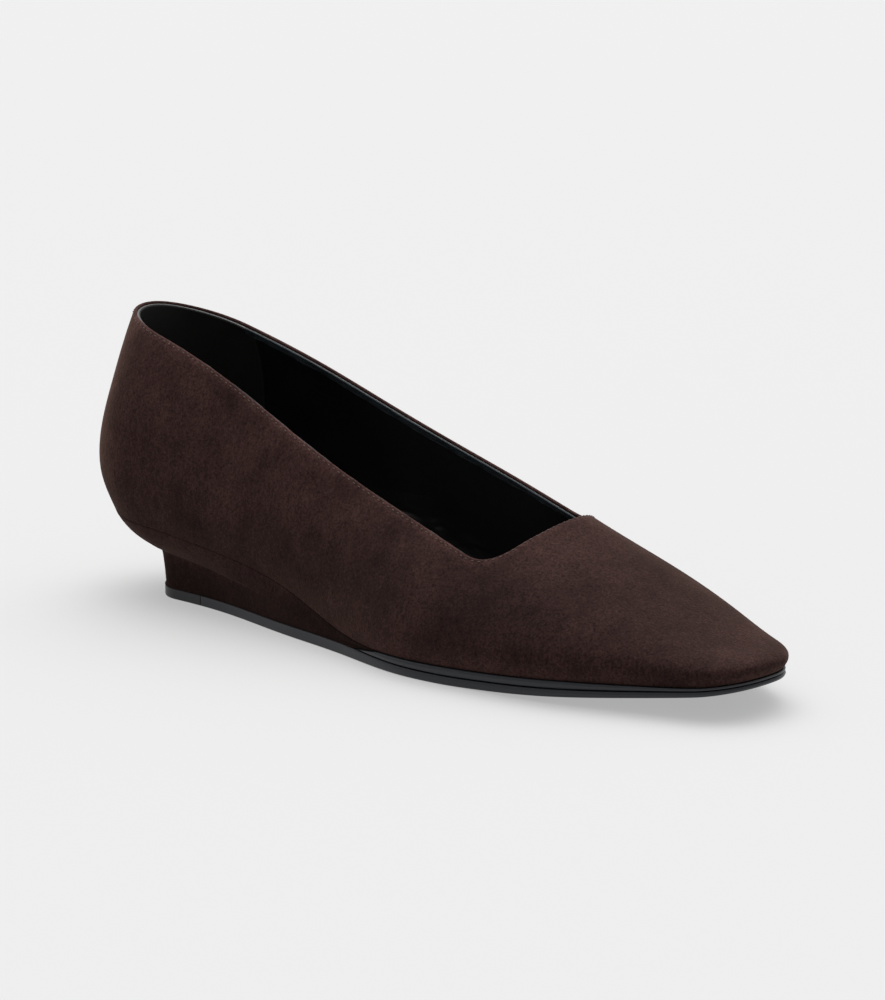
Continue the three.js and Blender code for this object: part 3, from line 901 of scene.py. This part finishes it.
def maths(nodes, links, kind, a, b):
    made = nodes.new("ShaderNodeMath")
    made.operation = kind
    for socket, value in ((made.inputs[0], a), (made.inputs[1], b)):
        if isinstance(value, bpy.types.NodeSocket):
            links.new(value, socket)
        else:
            socket.default_value = value
    return made.outputs["Value"]


def bump(nodes, links, height, distance, strength, normal=None):
    made = nodes.new("ShaderNodeBump")
    made.inputs["Distance"].default_value = distance
    made.inputs["Strength"].default_value = strength
    links.new(height, made.inputs["Height"])
    if normal is not None:
        links.new(normal, made.inputs["Normal"])
    return made.outputs["Normal"]


def along_axis(nodes, links, coords, axis, stops):
    """Grey shade over one axis of the row frame, from stops of (mm, shade)."""
    apart = nodes.new("ShaderNodeSeparateXYZ")
    links.new(coords.outputs["Object"], apart.inputs["Vector"])
    low, high = stops[0][0], stops[-1][0]
    above = maths(nodes, links, "SUBTRACT", apart.outputs[axis], low * MM)
    share = maths(nodes, links, "DIVIDE", above, (high - low) * MM)
    return ramp(nodes, links, share, [((at - low) / (high - low), (shade,) * 3) for at, shade in stops])


# Suede: how much lighter it is near the opening's edge, how much of mottling and grain the finer noise gives, and the
# grain's dark and light
EDGE_SHADE = (1.65, 1.68, 1.7)
PATCH_SHARE = 0.4
NAP_SHARE = 0.3
GRAIN_STOPS = [(0.36, (0.4,) * 3), (0.64, (1.6,) * 3)]
SUEDE_ROUGHNESS = 0.95
SUEDE_SPECULAR = 0.05
SHEEN_ROUGHNESS = 0.4
SHEEN_TINT = (1, 0.6, 0.45)
SUEDE_RELIEF = 0.5
SUEDE_BUMP = 0.55


def blended(nodes, links, a, b, share):
    return maths(nodes, links, "ADD", maths(nodes, links, "MULTIPLY", a, 1 - share),
                 maths(nodes, links, "MULTIPLY", b, share))


def suede_material(name, dark, light, sheen, heights):
    made, nodes, links, shader, coords = material(
        name, SUEDE_ROUGHNESS, SUEDE_SPECULAR, sheen, SHEEN_ROUGHNESS, SHEEN_TINT
    )
    clouds = noise(nodes, links, coords, 55, detail=2, roughness=0.5, distortion=0.3)
    patches = noise(nodes, links, coords, 170, detail=4, roughness=0.6, distortion=0.5, stretch=(1.2, 1.2, 0.8))
    fuzz = noise(nodes, links, coords, 1500, detail=3, roughness=0.75)
    nap = noise(nodes, links, coords, 800, detail=3, roughness=0.6, stretch=(1.2, 1.2, 0.6))
    base = ramp(nodes, links, blended(nodes, links, clouds, patches, PATCH_SHARE), [(0.32, dark), (0.68, light)])
    fine = blended(nodes, links, fuzz, nap, NAP_SHARE)
    grain = ramp(nodes, links, fine, GRAIN_STOPS)
    colour = mixed(nodes, links, "MULTIPLY", 1.0, base, grain)
    # Painted shade: the colour is scaled by a ramp over height from the floor, standing in for how the light falls
    colour = mixed(nodes, links, "MULTIPLY", 1.0, colour, along_axis(nodes, links, coords, "Z", heights))
    near_edge = nodes.new("ShaderNodeAttribute")
    near_edge.attribute_name = "edge"
    colour = mixed(nodes, links, "MULTIPLY", near_edge.outputs["Fac"], colour, EDGE_SHADE)
    links.new(colour, shader.inputs["Base Color"])
    rough = maths(nodes, links, "ADD", maths(nodes, links, "MULTIPLY", patches, 0.6), fine)
    links.new(bump(nodes, links, rough, SUEDE_RELIEF * MM, SUEDE_BUMP), shader.inputs["Normal"])
    return made


# Painted shade over heights from the floor, in mm: the upper's suede is painted darker on the sides and lighter low
# at the toe and high on the vamp, and the wedge cover darker on the block under the band, as the light falls
UPPER_PAINTED_SHADE = [(0, 1.25), (7, 1.05), (12, 0.82), (22, 0.66), (31, 0.74), (42, 1.02), (92, 1.1)]
COVER_PAINTED_SHADE = [(0, 0.42), (9, 0.46), (14, 0.75), (18, 0.95), (30, 1)]
suede = suede_material("suede", (0.0185, 0.0090, 0.0083), (0.0425, 0.0214, 0.0188), 0.1, UPPER_PAINTED_SHADE)
# The wedge cover is the same suede as the upper: its darker colours are painted shade, and its height ramp paints the
# block under the band darker still, in shade
cover_suede_painted_shade = suede_material("suede_cover", (0.017, 0.0085, 0.0079), (0.034, 0.017, 0.0152), 0.08, COVER_PAINTED_SHADE)


def leather_material(name, colour, roughness, scale, specular, depth, wrinkles=False):
    made, nodes, links, shader, coords = material(name, roughness, specular)
    grain = noise(nodes, links, coords, scale, detail=5, roughness=0.6)
    clouds = noise(nodes, links, coords, 60, detail=3)
    shade = ramp(nodes, links, clouds, [(0.3, tuple(0.8 * c for c in colour)), (0.7, tuple(1.2 * c for c in colour))])
    links.new(shade, shader.inputs["Base Color"])
    normal = bump(nodes, links, grain, depth, 0.4)
    if wrinkles:
        folds = noise(nodes, links, coords, 125, detail=1, roughness=0.4, distortion=0.8, stretch=(0.6, 1, 1.3))
        near = maths(nodes, links, "MULTIPLY", along_axis(nodes, links, coords, "X", WRINKLE_STATIONS),
                     along_axis(nodes, links, coords, "Z", WRINKLE_HEIGHTS))
        normal = bump(nodes, links, maths(nodes, links, "MULTIPLY", folds, near), WRINKLE_DEPTH * MM, 1, normal)
    links.new(normal, shader.inputs["Normal"])
    uneven = ramp(nodes, links, clouds, [(0.3, (roughness * 0.85,) * 3), (0.7, (roughness * 1.15,) * 3)])
    links.new(uneven, shader.inputs["Roughness"])
    return made


# Wrinkles of the lining behind the ball: how strong they are along x and up z, in mm
WRINKLE_STATIONS = [(24, 0), (46, 0.8), (60, 1), (72, 0.6), (90, 0)]
WRINKLE_HEIGHTS = [(4, 0.1), (13, 0.9), (20, 1), (34, 0)]
WRINKLE_DEPTH = 3.6
lining_leather = leather_material("lining_leather", (0.005, 0.005, 0.0053), 0.42, 900, 0.4, 0.00012, True)
sock_leather = leather_material("sock_leather", (0.005, 0.005, 0.0052), 0.5, 800, 0.3, 0.0001)
grip_leather = leather_material("grip_leather", (0.0085, 0.0082, 0.0078), 0.8, 1400, 0.3, 0.0002)
# The facing is black leather: its blue-grey colour with almost no specular is painted sheen, standing in for the soft
# reflections along the strip
facing_painted_sheen = leather_material("facing_painted_sheen", (0.0185, 0.0235, 0.0275), 0.5, 1300, 0.07, 0.0005)
edge_finish = leather_material("sole_edge_finish", (0.009, 0.0102, 0.0142), 0.4, 1500, 0.45, 0.00005)
lift_rubber = leather_material("lift_rubber", (0.011, 0.0115, 0.0135), 0.5, 1800, 0.4, 0.00005)


def thread_material():
    made, nodes, links, shader, coords = material("thread", 0.75, 0.3)
    twist = noise(nodes, links, coords, 2600, detail=2)
    links.new(ramp(nodes, links, twist, [(0.3, (0.055, 0.035, 0.029)), (0.7, (0.105, 0.07, 0.058))]),
              shader.inputs["Base Color"])
    return made


thread = thread_material()


def dress(piece, look, slot, *nodes):
    piece.data.materials.clear()
    piece.data.materials.append(look)
    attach(piece, "root")
    for node in nodes:
        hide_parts(node)


dress(upper, suede, "suede", "upper")
dress(lining, lining_leather, "sock")
dress(facing, facing_painted_sheen, "sock")
dress(grip, grip_leather, "sock")
dress(sock, sock_leather, "sock", "insole")
dress(wedge, cover_suede_painted_shade, "suede_cover", "wedge")
dress(rand, edge_finish, "sole_edge", "midsole")
dress(outsole, edge_finish, "sole", "outsole")
dress(top_piece, lift_rubber, "lift", "top_piece")
dress(topline_stitches, thread, "suede")


# Floor, light and camera

FLOOR_HALF = 60
FLOOR_TONE = 0.245
FLOOR_GLOW = 0.4


def floor_piece():
    mesh = bpy.data.meshes.new("floor")
    corners = [(-FLOOR_HALF, -FLOOR_HALF, 0), (FLOOR_HALF, -FLOOR_HALF, 0), (FLOOR_HALF, FLOOR_HALF, 0),
               (-FLOOR_HALF, FLOOR_HALF, 0)]
    mesh.from_pydata(corners, [], [(0, 1, 2, 3)])
    floor = bpy.data.objects.new("floor", mesh)
    bpy.context.scene.collection.objects.link(floor)
    paint = bpy.data.materials.new("floor_paint")
    paint.use_nodes = True
    shader = paint.node_tree.nodes["Principled BSDF"]
    shader.inputs["Base Color"].default_value = (FLOOR_TONE, FLOOR_TONE, FLOOR_TONE, 1)
    shader.inputs["Emission Color"].default_value = (1, 1, 1, 1)
    shader.inputs["Emission Strength"].default_value = FLOOR_GLOW
    shader.inputs["Roughness"].default_value = 0.9
    shader.inputs["Specular IOR Level"].default_value = 0.1
    mesh.materials.append(paint)


floor_piece()

scene = bpy.context.scene
scene.view_settings.view_transform = "Standard"
LIGHT_WAY = (-0.26, 0.3, 1)
LOBE_STRENGTH = 7.4
LOBE_POWER = 8
AMBIENT = 0.45


def studio_light():
    """Soft light all round, strongest from above and a little behind the shoe."""
    world = bpy.data.worlds.new("studio")
    scene.world = world
    world.use_nodes = True
    nodes, links = world.node_tree.nodes, world.node_tree.links
    coords = nodes.new("ShaderNodeTexCoord")
    dot = nodes.new("ShaderNodeVectorMath")
    dot.operation = "DOT_PRODUCT"
    links.new(coords.outputs["Generated"], dot.inputs[0])
    dot.inputs[1].default_value = Vector(LIGHT_WAY).normalized()
    facing_light = maths(nodes, links, "MAXIMUM", dot.outputs["Value"], 0.0)
    lobe = maths(nodes, links, "POWER", facing_light, LOBE_POWER)
    strength = maths(nodes, links, "ADD", maths(nodes, links, "MULTIPLY", lobe, LOBE_STRENGTH), AMBIENT)
    background = nodes["Background"]
    background.inputs["Color"].default_value = (1, 1, 1, 1)
    links.new(strength, background.inputs["Strength"])


studio_light()

# The camera stands where the photo's camera stood. AIM is the photo's pixel in the middle of the frame.
AZIMUTH, ELEVATION, ROLL_ANGLE = (math.radians(v) for v in (40.062, 9.6115, -0.016))
DISTANCE = 1567.24
FOCAL_PIXELS = 3809.31
TARGET = np.array([-118.385 - ORIGIN_STATION, 341.66, 40])
WIDTH, HEIGHT = 885, 1000
SENSOR = 36
AIM = (360, 724)


def camera():
    back = Vector((
        math.sin(AZIMUTH) * math.cos(ELEVATION), -math.cos(AZIMUTH) * math.cos(ELEVATION), math.sin(ELEVATION),
    ))
    right = Vector((0, 0, 1)).cross(back).normalized()
    up = back.cross(right)
    right, up = (
        right * math.cos(ROLL_ANGLE) + up * math.sin(ROLL_ANGLE),
        up * math.cos(ROLL_ANGLE) - right * math.sin(ROLL_ANGLE),
    )
    place = Vector(TARGET * MM) + back * DISTANCE * MM
    ahead = (AIM[0] - WIDTH / 2) / FOCAL_PIXELS * right - (AIM[1] - HEIGHT / 2) / FOCAL_PIXELS * up - back
    back = -ahead.normalized()
    right = (right - right.dot(back) * back).normalized()
    up = back.cross(right)
    data = bpy.data.cameras.new("camera")
    data.sensor_width = SENSOR
    data.lens = FOCAL_PIXELS * SENSOR / HEIGHT
    data.clip_start, data.clip_end = 0.01, 100
    eye = bpy.data.objects.new("camera", data)
    eye.matrix_world = Matrix((right, up, back)).transposed().to_4x4()
    eye.location = place
    scene.collection.objects.link(eye)
    scene.camera = eye


camera()
